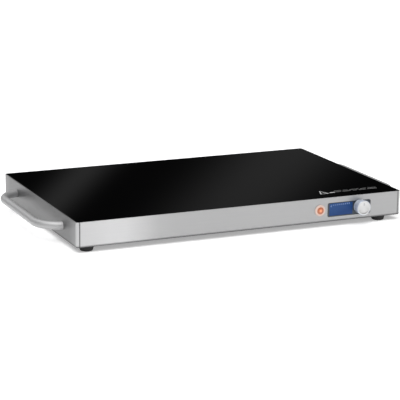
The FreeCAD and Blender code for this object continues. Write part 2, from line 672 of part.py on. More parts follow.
def panel_film():
    """Thin coloured film on the front of the control plate, left of the knob."""
    middle = "(side_height - (window_top + window_low) / 2)"
    film = Piece("panel_film", y=f"{FRONT_Y} + sheet_gauge", z=FLOOR_Z)
    outline = film.outline("XZ").rounded(
        "body_len / 2 - film_far", f"{middle} - film_height / 2",
        "body_len / 2 - film_near", f"{middle} + film_height / 2", "film_rad",
    )
    film.pad(outline, "film_thick")


def control_knob():
    """Turned metal knob, wider at its face; its own z runs forwards, out of the front face."""
    knob = Piece("control_knob", KNOB_X, FRONT_Y, KNOB_Z, 90, (1, 0, 0))
    side = knob.outline("XZ").polygon([
        ("insert_dia / 2", "knob_gap + nut_well"), ("nut_well_dia / 2", "knob_gap + nut_well"),
        ("nut_well_dia / 2", "knob_gap"), ("knob_dia / 2 - knob_flare", "knob_gap"),
        ("knob_dia / 2", "knob_out"), ("dish_dia / 2", "knob_out"),
        ("dish_dia / 2 - dish_depth", "knob_out - dish_depth"), ("0", "knob_out - dish_depth"),
        ("0", "knob_out - insert_front"), ("insert_dia / 2", "knob_out - insert_front"),
    ])
    knob.revolve(side)
    front = number("knob_out")
    rim = number("knob_dia / 2")
    knob.round_edges("knob_round", lambda e: lies_at(e, z=front) and abs(e.Curve.Radius - rim) < 0.01)
    groove = knob.outline("XY", "knob_out - dish_depth").rectangle(
        "-pointer_width / 2", "pointer_start", "pointer_width / 2", "pointer_start + pointer_len",
    )
    knob.cut(groove, "pointer_depth")


def knob_pointer():
    pointer = Piece("knob_pointer", KNOB_X, FRONT_Y, KNOB_Z, 90, (1, 0, 0))
    bar = pointer.outline("XY", "knob_out - dish_depth").rectangle(
        "-pointer_width / 2", "pointer_start", "pointer_width / 2", "pointer_start + pointer_len",
    )
    pointer.pad(bar, "pointer_depth", back=True)


def knob_insert():
    """Plastic sleeve that grips the thermostat shaft inside the knob."""
    sleeve = Piece("knob_insert", KNOB_X, FRONT_Y, KNOB_Z, 90, (1, 0, 0))
    section = sleeve.outline("XY", "insert_back")
    section.circle("insert_dia")
    section.circle("shaft_dia")
    sleeve.pad(section, "knob_out - insert_front - insert_back")


def knob_clip():
    """Leaf spring in the space that the shaft's flat leaves inside the sleeve."""
    clip = Piece("knob_clip", KNOB_X, FRONT_Y, KNOB_Z, 90, (1, 0, 0))
    leaf = clip.outline("XZ").rectangle(
        "-clip_width / 2", "flat_start + clip_clear",
        "clip_width / 2", "knob_out - shaft_front - clip_clear",
    )
    clip.pad(leaf, "clip_leaf", back=True)
    bind(clip.body, "Placement.Base.z", f"{KNOB_Z} + shaft_flat")


def thermostat_shaft():
    shaft = Piece("thermostat_shaft", KNOB_X, FRONT_Y, KNOB_Z, 90, (1, 0, 0))
    rod = shaft.outline("XY", "-shaft_back").circle("shaft_dia")
    shaft.pad(rod, "shaft_back + knob_out - shaft_front")
    flat = shaft.outline("XY", "flat_start").rectangle(
        "-shaft_dia", "shaft_flat", "shaft_dia", "shaft_dia",
    )
    shaft.cut(flat, "knob_out", back=True)


def thermostat_bush():
    """Threaded bush that carries the shaft and clamps the thermostat to the plate."""
    bush = Piece("thermostat_bush", KNOB_X, FRONT_Y, KNOB_Z, 90, (1, 0, 0))
    bore = "(shaft_dia / 2 + shaft_play)"
    back = f"({PLATE_BACK} + frame_gauge)"
    side = bush.outline("XZ").polygon([
        (bore, "bush_front"), (bore, f"-({back} + bush_flange)"),
        ("bush_flange_dia / 2", f"-({back} + bush_flange)"), ("bush_flange_dia / 2", f"-{back}"),
        ("bush_dia / 2", f"-{back}"), ("bush_dia / 2", "bush_front"),
    ])
    bush.revolve(side)


def bush_nut():
    nut = Piece("bush_nut", KNOB_X, FRONT_Y, KNOB_Z, 90, (1, 0, 0))
    nut.pad(nut.outline().hexagon("nut_flats"), "2 * nut_half", both=True)
    nut.cut(nut.outline().circle("bush_dia"), "4 * nut_half", both=True)


def thermostat_frame():
    """Steel channel behind the control plate; its arms hold the ceramic block."""
    frame = Piece("thermostat_frame", KNOB_X, f"{FRONT_Y} + {PLATE_BACK}", KNOB_Z)
    face = frame.outline("XZ").rectangle("-frame_half", "-frame_high", "frame_half", "frame_high")
    frame.pad(face, "frame_gauge", back=True)
    reach = f"(ceramic_back - {PLATE_BACK})"
    for side in ("-", ""):
        arm = frame.outline("YZ", f"{side}(frame_half - frame_gauge / 2)").rectangle(
            "0", "-frame_arm_high", reach, "frame_arm_high",
        )
        frame.pad(arm, "frame_gauge", both=True)
    hole = frame.outline("XZ").circle("bush_dia")
    frame.cut(hole, "4 * frame_gauge", both=True)


def thermostat_base():
    """Ceramic block between the arms of the frame, with the adjusting pin's bore."""
    base = Piece("thermostat_base", KNOB_X, f"{FRONT_Y} + ceramic_front", KNOB_Z)
    half = "(frame_half - frame_gauge)"
    face = base.outline("XZ").rectangle(f"-{half}", "-ceramic_high", half, "ceramic_high")
    base.pad(face, "ceramic_back - ceramic_front", back=True)
    bore = base.outline("XZ").circle("pin_dia + 2 * pin_play")
    base.cut(bore, "4 * ceramic_back", both=True)


def adjusting_pin():
    """Ceramic pin that the shaft drives back through the block as the knob turns."""
    pin = Piece("adjusting_pin", KNOB_X, f"{FRONT_Y} + shaft_back + pin_gap", KNOB_Z)
    pin.pad(pin.outline("XZ").circle("pin_dia"), "pin_len", back=True)


def contact_arm():
    """Springy contact leaf across the end of the pin, with a rolled foot and a contact.

    It swings about the roll, which is held against the ceramic block.
    """
    arm = Piece("contact_arm", f"{KNOB_X} - arm_far", ARM_Y, KNOB_Z)
    roll_y = f"(roll_dia / 2 + {FRONT_Y} + ceramic_back + arm_clear - {ARM_Y})"
    outline = arm.outline("XY").polygon([
        ("0", roll_y), ("leaf_gauge", roll_y), ("leaf_gauge", "0"),
        ("arm_reach", "0"), ("arm_reach", "leaf_gauge"), ("0", "leaf_gauge"),
    ])
    arm.pad(outline, "leaf_high", both=True)
    roll = arm.outline("XY").circle("roll_dia", "leaf_gauge / 2", roll_y)
    arm.pad(roll, "leaf_high", both=True)
    contact = arm.outline("XZ", "-leaf_gauge").circle("contact_dia", "arm_reach - contact_dia / 2")
    arm.pad(contact, "contact_thick", back=True)


def bimetal_strip():
    """Bent bimetal blade fixed to the block, facing the contact."""
    blade = Piece("bimetal_strip", KNOB_X, f"{FRONT_Y} + ceramic_back", KNOB_Z)
    high = "(bimetal_back - ceramic_back)"
    outline = blade.outline("XY").polygon([
        ("arm_far - bimetal_gauge", "0"), ("arm_far", "0"), ("arm_far", f"{high} + bimetal_gauge"),
        ("arm_far - bimetal_reach", f"{high} + bimetal_gauge"),
        ("arm_far - bimetal_reach", high), ("arm_far - bimetal_gauge", high),
    ])
    blade.pad(outline, "leaf_high", both=True)


def thermostat_tabs():
    """Two push-on terminal blades on the back of the block."""
    tabs = []
    for label, left in (("tab_left", "-tab_inner - tab_width"), ("tab_right", "tab_inner")):
        blade = doc.addObject("Part::Box", label)
        bind(blade, "Length", "tab_width")
        bind(blade, "Width", "tab_len")
        bind(blade, "Height", "tab_thick")
        place(blade, f"{KNOB_X} + {left}", f"{FRONT_Y} + ceramic_back", f"{KNOB_Z} - tab_drop")
        tabs.append(blade)
    group("thermostat_tabs", tabs)


def indicator_bezel():
    """Ring round the lamp with a collar through the front panel; own z runs forwards."""
    bezel = Piece("indicator_bezel", LAMP_X, FRONT_Y, LAMP_Z, 90, (1, 0, 0))
    side = bezel.outline("XZ").polygon([
        ("lens_dia / 2", "-collar_len"), ("collar_dia / 2", "-collar_len"),
        ("collar_dia / 2", "0"), ("bezel_dia / 2", "0"),
        ("bezel_dia / 2", "bezel_proud"), ("lens_dia / 2", "bezel_proud"),
    ])
    bezel.revolve(side)
    front = number("bezel_proud")
    bezel.round_edges(
        "bezel_round",
        lambda e: lies_at(e, z=front) and abs(e.Curve.Radius - number("bezel_dia / 2")) < 0.01,
    )


def indicator_lens():
    lens = Piece("indicator_lens", LAMP_X, FRONT_Y, LAMP_Z, 90, (1, 0, 0))
    body = lens.outline("XY", "-lens_back").circle("lens_dia")
    lens.pad(body, "lens_back + lens_proud")
    front = number("lens_proud")
    lens.round_edges("bezel_round", lambda e: lies_at(e, z=front))


def neon_lamp():
    """Glass bulb behind the lens with the plug that closes the collar."""
    bulb = Piece("neon_lamp", LAMP_X, f"{FRONT_Y} + bulb_start", LAMP_Z, -90, (1, 0, 0))
    side = bulb.outline("XZ").polygon([
        ("0", "0"), ("bulb_dia / 2 - bulb_bevel", "0"), ("bulb_dia / 2", "bulb_bevel"),
        ("bulb_dia / 2", "collar_len - bulb_start"), ("collar_dia / 2", "collar_len - bulb_start"),
        ("collar_dia / 2", "collar_len - bulb_start + lamp_end"),
        ("0", "collar_len - bulb_start + lamp_end"),
    ])
    bulb.revolve(side)


def lamp_clip():
    """Push-on ring that holds the bezel against the inside of the panel."""
    clip = Piece("lamp_clip", LAMP_X, f"{FRONT_Y} + sheet_gauge", LAMP_Z, -90, (1, 0, 0))
    section = clip.outline()
    section.circle("clip_dia")
    section.circle("collar_dia")
    clip.pad(section, "clip_thick")


def mat_layer(label, z, thickness, margin="0"):
    """Flat rectangular layer of the heating mat."""
    layer = Piece(label, z=z)
    outline = layer.outline().rounded(
        f"{margin} - mat_left", f"{MAT_Y} + {margin}", f"mat_left - {margin}",
        f"{MAT_Y} + {MAT_DEPTH} - {margin}", "mat_rad",
    )
    layer.pad(outline, thickness)
    return layer


def heater_element():
    """Flat resistance foil cut into one zigzag track, with a lead tab at each end."""
    element = Piece("heater_element", y=MAT_Y, z=ELEMENT_Z)
    half = "(mat_left - element_margin)"
    depth = f"({MAT_DEPTH} - element_margin)"
    sheet_outline = element.outline().rectangle(f"-{half}", "element_margin", half, depth)
    element.pad(sheet_outline, "element_thick")
    first = f"(-{half} + track_pitch)"
    slot = element.outline().rectangle(
        f"{first} - track_gap / 2", "0", f"{first} + track_gap / 2", f"{depth} - track_turn",
    )
    from_front = element.cut(slot, "element_thick", back=True)
    element.row(from_front, "X_Axis", f"2 * track_pitch * {TRACKS_FROM_FRONT - 1}", TRACKS_FROM_FRONT)
    second = f"({first} + track_pitch)"
    slot = element.outline().rectangle(
        f"{second} - track_gap / 2", "element_margin + track_turn",
        f"{second} + track_gap / 2", f"{depth} + element_margin",
    )
    from_back = element.cut(slot, "element_thick", back=True)
    element.row(from_back, "X_Axis", f"2 * track_pitch * {TRACKS_FROM_BACK - 1}", TRACKS_FROM_BACK)
    for side in (f"-{half}", f"{half} - lead_tab_width"):
        tab = element.outline().rectangle(
            side, "element_margin - lead_tab_len", f"{side} + lead_tab_width",
            "element_margin + lead_tab_lap",
        )
        element.pad(tab, "element_thick")


def cross_bracket(label, side):
    """Channel from end to end under the tray plate."""
    bracket = Piece(label, y=f"{MID_Y} {side} bracket_offset", z=f"{TRAY_Z} - bracket_leg")
    half = "(bracket_width / 2)"
    section = bracket.outline("YZ").polygon([
        (f"-{half}", "0"), (f"sheet_gauge - {half}", "0"),
        (f"sheet_gauge - {half}", "bracket_leg - sheet_gauge"),
        (f"{half} - sheet_gauge", "bracket_leg - sheet_gauge"), (f"{half} - sheet_gauge", "0"),
        (half, "0"), (half, "bracket_leg"), (f"-{half}", "bracket_leg"),
    ])
    bracket.pad(section, f"{INNER_LEN} - 2 * sheet_gauge", both=True)
    holes = bracket.outline()
    for step in (-1, 0, 1):
        holes.circle("screw_dia", f"{step} * bracket_screw_pitch")
    bracket.cut(holes, "4 * bracket_leg", both=True)


def tray_plate():
    """Steel plate that presses the mat up against the glass."""
    plate = mat_layer("tray_plate", TRAY_Z, "tray_gauge", "tray_margin")
    holes = plate.outline()
    for side in ("-", "+"):
        for step in (-1, 0, 1):
            holes.circle("screw_dia", f"{step} * bracket_screw_pitch", f"{MID_Y} {side} bracket_offset")
    plate.cut(holes, "4 * tray_gauge", both=True)


def bracket_screws():
    sizes = ("screw_dia", "sheet_gauge + tray_gauge", "screw_head_dia", "screw_head")
    screws = []
    for side in ("-", "+"):
        for step in (-1, 0, 1):
            screws.append(fastener(
                f"{step} * bracket_screw_pitch", f"{MID_Y} {side} bracket_offset",
                f"{TRAY_Z} - sheet_gauge", 0, (0, 0, 1), sizes,
            ))
    group("bracket_screws", screws)


def appliance_inlet():
    """Flanged mains inlet in the back panel; own z runs out of the back face."""
    inlet = Piece("appliance_inlet", INLET_X, BACK_Y, INLET_Z, -90, (1, 0, 0))
    flange = inlet.outline().centred("inlet_flange_len", "inlet_flange_high", "inlet_rad")
    inlet.pad(flange, "inlet_flange")
    body = inlet.outline().centred("inlet_body_len", "inlet_body_high", "socket_rad")
    inlet.pad(body, "inlet_depth", back=True)
    socket = inlet.outline("XY", "-socket_depth").centred("socket_len", "socket_high", "socket_rad")
    inlet.cut(socket, "socket_depth + 2 * inlet_flange", back=True)
    slots = inlet.outline("XY", "-socket_depth")
    for x, y in pin_spots():
        slots.rectangle(
            f"{x} - pin_wide / 2", f"{y} - pin_high / 2", f"{x} + pin_wide / 2", f"{y} + pin_high / 2",
        )
    inlet.cut(slots, "inlet_depth")
    screws = inlet.outline()
    for side in ("-", ""):
        screws.circle("screw_dia", f"{side}inlet_screw_pitch / 2")
    inlet.cut(screws, "4 * inlet_flange", both=True)
    return inlet


def pin_spots():
    """The three inlet pins about the socket's middle; the inlet's own y runs down."""
    return [
        ("-pin_pitch / 2", "live_pin_drop"),
        ("pin_pitch / 2", "live_pin_drop"),
        ("0", "-earth_pin_rise"),
    ]


def inlet_pins():
    pins = []
    for x, y in pin_spots():
        blade = doc.addObject("Part::Box", "pin")
        bind(blade, "Length", "pin_wide")
        bind(blade, "Width", "inlet_depth + pin_tail - pin_tip + inlet_flange")
        bind(blade, "Height", "pin_high")
        place(
            blade, f"{INLET_X} + {x} - pin_wide / 2", f"{BACK_Y} - inlet_depth - pin_tail",
            f"{INLET_Z} - ({y}) - pin_high / 2",
        )
        pins.append(blade)
    group("inlet_pins", pins)


def inlet_screws():
    """Two screws through the inlet flange and the back panel, each with its nut."""
    length = "(inlet_flange + sheet_gauge + inlet_nut_thick + inlet_screw_tail)"
    screws = []
    for side in ("-", "+"):
        x = f"{INLET_X} {side} inlet_screw_pitch / 2"
        shank = doc.addObject("Part::Cylinder", "shank")
        bind(shank, "Radius", "screw_dia / 2")
        bind(shank, "Height", length)
        place(shank, x, f"{BACK_Y} + inlet_flange", INLET_Z, 90, (1, 0, 0))
        nut = doc.addObject("Part::Prism", "nut")
        nut.Polygon = 6
        bind(nut, "Circumradius", "inlet_nut_flats / sqrt(3)")
        bind(nut, "Height", "inlet_nut_thick")
        place(nut, x, f"{BACK_Y} - sheet_gauge", INLET_Z, 90, (1, 0, 0))
        screw = doc.addObject("Part::Fuse", "inlet_screw")
        screw.Base = shank
        screw.Tool = nut
        screws.append(screw)
    group("inlet_screws", screws)


def swept(points, radius, bend):
    """Round wire along straight runs joined by tangent arcs; its volume is compared."""
    edges = []
    length = 0.0
    start = points[0]
    for before, corner, after in zip(points, points[1:], points[2:]):
        back = (before - corner).normalize()
        ahead = (after - corner).normalize()
        half_turn = (math.pi - back.getAngle(ahead)) / 2
        trim = bend * math.tan(half_turn)
        first = corner + back * trim
        last = corner + ahead * trim
        inward = (back + ahead).normalize()
        middle = corner + inward * (bend / math.cos(half_turn) - bend)
        edges.append(Part.LineSegment(start, first).toShape())
        edges.append(Part.Arc(first, middle, last).toShape())
        length += (first - start).Length + bend * 2 * half_turn
        start = last
    edges.append(Part.LineSegment(start, points[-1]).toShape())
    length += (points[-1] - start).Length
    heading = points[1] - points[0]
    section = Part.Wire(Part.makeCircle(radius, points[0], heading))
    tube = Part.Wire(edges).makePipeShell([section], True, True)
    if abs(tube.Volume - math.pi * radius ** 2 * length) > 0.01 * tube.Volume:
        raise RuntimeError("a wire's volume is not its section times its length")
    return tube


def wire(label, runs, diameter="wire_dia"):
    """Insulated wires of one circuit; each run is a list of points given as expressions."""
    tubes = []
    for run in runs:
        points = [FreeCAD.Vector(number(x), number(y), number(z)) for x, y, z in run]
        tubes.append(swept(points, number(diameter) / 2, number("wire_bend")))
    shape = tubes[0] if len(tubes) == 1 else Part.makeCompound(tubes)
    made = doc.addObject("Part::Feature", label)
    made.Label = label
    made.Shape = shape
    made.Placement = FreeCAD.Placement()
    nodes.append(made)


def thermal_fuse():
    fuse = Piece("thermal_fuse", FUSE_X, FUSE_Y, LIVE_Z)
    fuse.pad(fuse.outline("XZ").circle("fuse_dia"), "fuse_len", back=True)


def earth_stud():
    """Bolt through the base cover that the earth wire is clamped to."""
    stud = Piece("earth_stud", STUD_X, STUD_Y, "foot_height")
    stud.pad(stud.outline("XY", "-stud_head").circle("stud_head_dia"), "stud_head")
    stud.pad(stud.outline().circle("stud_dia"), "cover_gauge + stud_high")
    stud.pad(stud.outline("XY", "cover_gauge").hexagon("stud_nut_flats"), "stud_nut")


def wiring():
    """Wires between the inlet, fuse, thermostat, element, lamp and earth stud."""
    live_pin = (f"{INLET_X} + pin_pitch / 2", PIN_Y, f"{INLET_Z} - live_pin_drop")
    neutral_y = f"({PIN_Y} - neutral_short)"
    neutral_pin = (f"{INLET_X} - pin_pitch / 2", neutral_y, f"{INLET_Z} - live_pin_drop")
    earth_pin = (INLET_X, PIN_Y, f"{INLET_Z} + earth_pin_rise")
    right_tab = f"({KNOB_X} + {TAB_MID})"
    left_tab = f"({KNOB_X} - {TAB_MID})"
    wire("live_wires", [
        [
            live_pin, (live_pin[0], f"{PIN_Y} - live_turn", LIVE_Z),
            (FUSE_X, f"{PIN_Y} - live_cross", LIVE_Z),
            (FUSE_X, f"{FUSE_Y} + fuse_len + wire_touch", LIVE_Z),
        ],
        [
            (FUSE_X, f"{FUSE_Y} - wire_touch", LIVE_Z), (FUSE_X, f"{TAB_Y} + fuse_turn", LIVE_Z),
            (right_tab, f"{TAB_Y} + tab_turn", LIVE_Z), (right_tab, TAB_Y, TAB_Z),
        ],
        [
            (left_tab, TAB_Y, TAB_Z), (left_tab, f"{TAB_Y} + lead_turn", f"{LOW_Z} + lead_rise"),
            (LEAD_X, f"{TAB_Y} + lead_turn", LOW_Z), (LEAD_X, LEAD_Y, f"{LOW_Z} + lead_rise"),
            (LEAD_X, LEAD_Y, LEAD_Z),
        ],
    ])
    wire("neutral_wire", [[
        (f"-{LEAD_X}", LEAD_Y, LEAD_Z), (f"-{LEAD_X}", LEAD_Y, LOW_Z),
        ("-neutral_left", f"{LEAD_Y} + neutral_bow", LOW_Z),
        ("neutral_mid", f"{LEAD_Y} + neutral_dip", LOW_Z),
        ("neutral_right", f"{LEAD_Y} + neutral_reach", LOW_Z),
        ("neutral_right", f"{MID_Y} + neutral_reach", LOW_Z),
        (neutral_pin[0], f"{PIN_Y} - neutral_cross", LOW_Z),
        (neutral_pin[0], f"{PIN_Y} - neutral_turn", LOW_Z), neutral_pin,
    ]])
    wire("earth_wire", [[
        earth_pin, (INLET_X, f"{PIN_Y} - live_turn", f"{LIVE_Z} + earth_rise"),
        (f"{STUD_X} + earth_turn", f"{STUD_Y} - earth_dip", f"{LOW_Z} + earth_high"),
        (f"{STUD_X} + stud_dia / 2 + wire_touch", STUD_Y, f"{LOW_Z} + earth_low"),
    ]])
    lamp_y = f"({FRONT_Y} + collar_len + lamp_end + wire_touch)"
    near_tab = f"({left_tab} - tab_width / 2 + lead_dia / 2 + wire_touch)"
    wire("lamp_leads", [
        [
            (f"{LAMP_X} - lead_pitch / 2", lamp_y, LAMP_Z),
            (f"{LAMP_X} - lead_pitch / 2", f"{lamp_y} + lamp_turn", LAMP_Z),
            (f"{LAMP_X} + lamp_shift", f"{LEAD_Y} + neutral_reach", f"{LOW_Z} + lamp_high"),
            ("neutral_right", f"{LEAD_Y} + lamp_reach", f"{LOW_Z} + lamp_join"),
        ],
        [
            (f"{LAMP_X} + lead_pitch / 2", lamp_y, LAMP_Z),
            (f"{LAMP_X} + lead_pitch / 2", f"{lamp_y} + lamp_far_turn", LAMP_Z),
            (near_tab, f"{TAB_Y} + lead_turn", f"{TAB_Z} + lead_rise"), (near_tab, TAB_Y, TAB_Z),
        ],
    ], "lead_dia")


def build():
    glass_top()
    glass_seal()
    front_panel()
    back_panel()
    end_panel("left_end_panel", "-body_len / 2", 0)
    end_panel("right_end_panel", "body_len / 2", 180)
    for side_y, depth_word in ((-1, "front"), (1, "back")):
        for side_x, end_word in ((-1, "left"), (1, "right")):
            corner_angle(f"corner_angle_{depth_word}_{end_word}", side_x, side_y)
    notch = (f"{LAMP_X} - lamp_notch", "body_len / 2 - window_near + 2 * plate_lap")
    glass_rail("glass_rail_front", "0", f"{FRONT_Y} + sheet_gauge", 0, STRAIGHT, notch)
    glass_rail("glass_rail_back", "0", f"{BACK_Y} - sheet_gauge", 180, STRAIGHT)
    side_len = f"({INNER_DEP} - 2 * ledge_width)"
    glass_rail("glass_rail_left", f"-{INNER_LEN} / 2", MID_Y, -90, side_len)
    glass_rail("glass_rail_right", f"{INNER_LEN} / 2", MID_Y, 90, side_len)
    base_cover()
    for label, x, y in foot_places():
        foot(label, x, y)
    foot_screws()
    handle("left_handle", "-body_len / 2", 180)
    handle("right_handle", "body_len / 2", 0)
    handle_fixings()
    control_plate()
    panel_film()
    control_knob()
    knob_pointer()
    knob_insert()
    knob_clip()
    thermostat_shaft()
    thermostat_bush()
    bush_nut()
    thermostat_frame()
    thermostat_base()
    adjusting_pin()
    contact_arm()
    bimetal_strip()
    thermostat_tabs()
    indicator_bezel()
    indicator_lens()
    neon_lamp()
    lamp_clip()
    mat_layer("mica_upper", f"{ELEMENT_Z} + element_thick", "mica_thick")
    heater_element()
    mat_layer("mica_lower", LOWER_MICA_Z, "mica_thick")
    mat_layer("insulation_mat", WOOL_Z, "wool_thick", "tray_margin")
    tray_plate()
    cross_bracket("cross_bracket_front", "-")
    cross_bracket("cross_bracket_back", "+")
    bracket_screws()
    appliance_inlet()
    inlet_pins()
    inlet_screws()
    thermal_fuse()
    earth_stud()
    wiring()


def write_steps():
    """Stop on any failed object or bad shape, then write one file for each node."""
    doc.recompute()
    for item in doc.Objects:
        if {"Invalid", "Error"} & set(item.State):
            raise RuntimeError(f"{item.Label} failed: {item.State}")
    os.makedirs("parts", exist_ok=True)
    for node in nodes:
        if node.Shape.isNull() or not node.Shape.isValid():
            raise RuntimeError(f"{node.Label} has a bad shape")
        node.Shape.exportStep(f"parts/{node.Label}.step")
    print(len(nodes), "sub-parts")


build()
write_steps()
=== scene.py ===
import json
import math

import bmesh
import bpy
from mathutils import Matrix, Vector


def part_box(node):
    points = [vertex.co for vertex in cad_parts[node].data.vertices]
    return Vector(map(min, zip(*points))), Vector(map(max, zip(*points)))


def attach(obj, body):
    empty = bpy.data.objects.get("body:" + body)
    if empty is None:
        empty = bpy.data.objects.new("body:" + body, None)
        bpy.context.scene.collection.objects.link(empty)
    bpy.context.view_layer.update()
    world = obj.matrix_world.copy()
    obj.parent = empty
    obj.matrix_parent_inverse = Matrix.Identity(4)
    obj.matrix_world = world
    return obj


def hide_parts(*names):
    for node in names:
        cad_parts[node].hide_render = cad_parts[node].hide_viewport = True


# Glass-topped electric warming tray.  Metres, in the CAD model's frame: +X right along the
# front, +Y to the back, +Z up.  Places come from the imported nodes' boxes.

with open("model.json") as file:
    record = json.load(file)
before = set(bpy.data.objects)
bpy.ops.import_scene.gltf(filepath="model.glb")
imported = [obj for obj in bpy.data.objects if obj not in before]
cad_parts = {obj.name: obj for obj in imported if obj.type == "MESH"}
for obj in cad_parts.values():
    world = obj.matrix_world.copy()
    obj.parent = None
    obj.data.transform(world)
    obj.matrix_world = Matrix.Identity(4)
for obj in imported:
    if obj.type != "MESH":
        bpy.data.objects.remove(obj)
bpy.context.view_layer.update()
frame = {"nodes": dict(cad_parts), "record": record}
scene = bpy.context.scene
scene.view_settings.view_transform = "Standard"
MM = 0.001
DEGREE = math.pi / 180
PRINT_THICK = 0.02 * MM
FILM_MARK_THICK = 0.04 * MM
GLASS_BLACK = (0.0003, 0.0003, 0.0004)
FOOT_HEAD = 2.2 * MM
CROSS_REACH = 0.55
CROSS_WIDTH = 0.22
CIRCLE_STEPS = 48

glass_low, glass_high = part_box("glass_top")
front_low, front_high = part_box("front_panel")
end_low, end_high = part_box("left_end_panel")
film_low, film_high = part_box("panel_film")
knob_low, knob_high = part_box("control_knob")
lens_low, lens_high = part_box("indicator_lens")
bezel_low, bezel_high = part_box("indicator_bezel")
FRONT_Y = front_low.y
KNOB_RADIUS = (knob_high.x - knob_low.x) / 2
PAINTED_FLUTE_COUNT = 36
KNOB_FLARE = 1.4 * MM
KNOB_RING_PITCH = 0.28 * MM
KNOB_ROUND = 0.9 * MM
DISH_INSET = 2.2 * MM
GROOVE_START = 2.2 * MM
GROOVE_PITCH = 1.2 * MM
GROOVE_DEPTH = 0.2 * MM
NUT_WELL = 17.2 * MM
NUT_WELL_DEPTH = 4 * MM
KNOB_AXIS = Vector(((knob_low.x + knob_high.x) / 2, FRONT_Y, (knob_low.z + knob_high.z) / 2))
LAMP_AXIS = Vector(((lens_low.x + lens_high.x) / 2, FRONT_Y, (lens_low.z + lens_high.z) / 2))


# ---------------------------------------------------------------- materials

class Shader:
    """A material with short calls for its nodes."""

    def __init__(self, name, base, roughness, metallic=0.0):
        self.material = bpy.data.materials.new(name)
        self.material.use_nodes = True
        self.nodes = self.material.node_tree.nodes
        self.links = self.material.node_tree.links
        self.surface = self.nodes["Principled BSDF"]
        self.set("Base Color", (*base, 1.0))
        self.set("Roughness", roughness)
        self.set("Metallic", metallic)
        self.position = None

    def set(self, socket, value):
        self.surface.inputs[socket].default_value = value

    def link(self, source, socket):
        self.links.new(source, self.surface.inputs[socket])

    def where(self):
        """The point being shaded, in the object's own coordinates."""
        if self.position is None:
            self.position = self.nodes.new("ShaderNodeTexCoord").outputs["Object"]
        return self.position

    def stretched(self, scale):
        mapping = self.nodes.new("ShaderNodeMapping")
        mapping.inputs["Scale"].default_value = scale
        self.links.new(self.where(), mapping.inputs["Vector"])
        return mapping.outputs["Vector"]

    def noise(self, scale, detail=4.0, stretch=(1, 1, 1), roughness=0.5):
        texture = self.nodes.new("ShaderNodeTexNoise")
        texture.inputs["Scale"].default_value = scale
        texture.inputs["Detail"].default_value = detail
        texture.inputs["Roughness"].default_value = roughness
        self.links.new(self.stretched(stretch), texture.inputs["Vector"])
        return texture.outputs["Fac"]

    def ramp(self, source, stops):
        """Colours or greys along a 0 to 1 value; each stop is (place, colour)."""
        node = self.nodes.new("ShaderNodeValToRGB")
        elements = node.color_ramp.elements
        while len(elements) < len(stops):
            elements.new(0.5)
        for element, (place, colour) in zip(elements, stops):
            element.position = place
            element.color = colour if len(colour) == 4 else (*colour, 1.0)
        self.links.new(source, node.inputs["Fac"])
        return node.outputs["Color"]

    def rescale(self, source, low, high):
        node = self.nodes.new("ShaderNodeMapRange")
        node.inputs["To Min"].default_value = low
        node.inputs["To Max"].default_value = high
        self.links.new(source, node.inputs["Value"])
        return node.outputs["Result"]

    def math(self, operation, first, second=None):
        node = self.nodes.new("ShaderNodeMath")
        node.operation = operation
        for index, value in enumerate((first, second)):
            if value is None:
                continue
            if isinstance(value, (int, float)):
                node.inputs[index].default_value = value
            else:
                self.links.new(value, node.inputs[index])
        return node.outputs["Value"]

    def split(self):
        node = self.nodes.new("ShaderNodeSeparateXYZ")
        self.links.new(self.where(), node.inputs["Vector"])
        return node.outputs["X"], node.outputs["Y"], node.outputs["Z"]

    def vary(self, base, spread, source):
        """Base colour a little lighter and darker along a value."""
        dark = tuple(channel * (1 - spread) for channel in base)
        light = tuple(min(1.0, channel * (1 + spread)) for channel in base)
        self.link(self.ramp(source, [(0.3, dark), (0.7, light)]), "Base Color")

    def bump(self, source, strength, distance):
        node = self.nodes.new("ShaderNodeBump")
        node.inputs["Strength"].default_value = strength
        node.inputs["Distance"].default_value = distance
        self.links.new(source, node.inputs["Height"])
        self.link(node.outputs["Normal"], "Normal")


def brushed_steel(name, base, roughness, along, strength=0.25, spread=0.09):
    """Fine brushing along one axis: x or y."""
    shader = Shader(name, base, roughness, 1.0)
    fine = {"x": (2, 300, 300), "y": (300, 2, 300)}[along]
    grain = shader.noise(9, 6, fine, 0.62)
    cloud = shader.noise(7, 3)
    mixed = shader.math("ADD", shader.math("MULTIPLY", grain, 0.75), shader.math("MULTIPLY", cloud, 0.25))
    shader.vary(base, spread, mixed)
    shader.link(shader.rescale(grain, roughness - 0.05, roughness + 0.07), "Roughness")
    shader.bump(grain, strength, 0.00004)
    return shader


def shaded_along(shader, axis, low, high, stops):
    """Multiply the base colour by greys that change along one axis from low to high: painted light and
    shade.
    """
    place = shader.split()[axis]
    along = shader.math("DIVIDE", shader.math("SUBTRACT", place, low), high - low)
    tone = shader.ramp(along, [(spot, (grey, grey, grey)) for spot, grey in stops])
    mix = shader.nodes.new("ShaderNodeMix")
    mix.data_type = "RGBA"
    mix.blend_type = "MULTIPLY"
    mix.inputs["Factor"].default_value = 1.0
    base = shader.surface.inputs["Base Color"].links[0].from_socket
    sockets = [socket for socket in mix.inputs if socket.type == "RGBA"]
    shader.links.new(base, sockets[0])
    shader.links.new(tone, sockets[1])
    result = [socket for socket in mix.outputs if socket.type == "RGBA"][0]
    shader.link(result, "Base Color")
    return shader


def sheet_metal(name, base, roughness):
    """Plain plated sheet with soft spangle."""
    shader = Shader(name, base, roughness, 1.0)
    spangle = shader.noise(120, 5)
    shader.vary(base, 0.12, spangle)
    shader.link(shader.rescale(spangle, roughness - 0.06, roughness + 0.1), "Roughness")
    shader.bump(shader.noise(900, 3), 0.08, 0.00003)
    return shader.material


